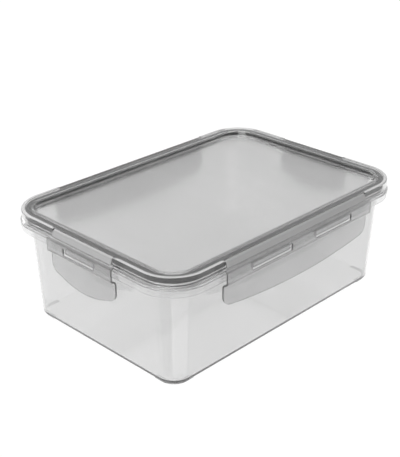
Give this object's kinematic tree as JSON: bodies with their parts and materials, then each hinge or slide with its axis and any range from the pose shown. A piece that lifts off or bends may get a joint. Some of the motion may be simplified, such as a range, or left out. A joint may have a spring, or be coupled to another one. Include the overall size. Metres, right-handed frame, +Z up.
{
  "type": "clip-lock food canister",
  "caption": "Rectangular clear food canister with a sealed clear lid held down by hinged clips along its sides.",
  "frame": {"origin": "centre of the footprint, on the surface the feet stand on", "axes": "+Z up, X along the long sides, front long side towards -Y"},
  "size_m": [0.2588, 0.1828, 0.088],
  "materials": {
    "tub_plastic": "clear, glossy, very slightly grey",
    "lid_plastic": "clear, slightly milky panel",
    "seal_rubber": "matt dark grey silicone",
    "clip_plastic": "translucent grey, satin"
  },
  "bodies": {
    "tub": {"tub": "tub_plastic"},
    "lid": {"lid": "lid_plastic", "seal_ring": "seal_rubber"},
    "front_web": {"front_hinge_web": "clip_plastic"},
    "front_clip": {"front_clip": "clip_plastic"},
    "back_web": {"back_hinge_web": "clip_plastic"},
    "back_clip": {"back_clip": "clip_plastic"},
    "right_web": {"right_hinge_web": "clip_plastic"},
    "right_clip": {"right_clip": "clip_plastic"},
    "left_web": {"left_hinge_web": "clip_plastic"},
    "left_clip": {"left_clip": "clip_plastic"}
  },
  "joints": [
    {"name": "lid_lift", "type": "slide", "parent": "tub", "child": "lid", "axis": [0, 0, 1], "range_m": [0, 0.02]},
    {"name": "front_web_hinge", "type": "hinge", "parent": "lid", "child": "front_web", "pos_m": [0, -0.08545, 0.088], "axis": [-1, 0, 0], "range_deg": [0, 60]},
    {"name": "front_clip_hinge", "type": "hinge", "parent": "front_web", "child": "front_clip", "pos_m": [0, -0.0886, 0.083], "axis": [-1, 0, 0], "range_deg": [0, 120]},
    {"name": "back_web_hinge", "type": "hinge", "parent": "lid", "child": "back_web", "pos_m": [0, 0.08545, 0.088], "axis": [1, 0, 0], "range_deg": [0, 60]},
    {"name": "back_clip_hinge", "type": "hinge", "parent": "back_web", "child": "back_clip", "pos_m": [0, 0.0886, 0.083], "axis": [1, 0, 0], "range_deg": [0, 120]},
    {"name": "right_web_hinge", "type": "hinge", "parent": "lid", "child": "right_web", "pos_m": [0.12345, 0, 0.088], "axis": [0, -1, 0], "range_deg": [0, 60]},
    {"name": "right_clip_hinge", "type": "hinge", "parent": "right_web", "child": "right_clip", "pos_m": [0.1266, 0, 0.083], "axis": [0, -1, 0], "range_deg": [0, 120]},
    {"name": "left_web_hinge", "type": "hinge", "parent": "lid", "child": "left_web", "pos_m": [-0.12345, 0, 0.088], "axis": [0, 1, 0], "range_deg": [0, 60]},
    {"name": "left_clip_hinge", "type": "hinge", "parent": "left_web", "child": "left_clip", "pos_m": [-0.1266, 0, 0.083], "axis": [0, 1, 0], "range_deg": [0, 120]}
  ],
  "couplings": [
    {"joint": "front_web_hinge", "follows": "lid_lift", "rad_per_m": 52.35},
    {"joint": "back_web_hinge", "follows": "lid_lift", "rad_per_m": 52.35},
    {"joint": "right_web_hinge", "follows": "lid_lift", "rad_per_m": 52.35},
    {"joint": "left_web_hinge", "follows": "lid_lift", "rad_per_m": 52.35}
  ]
}
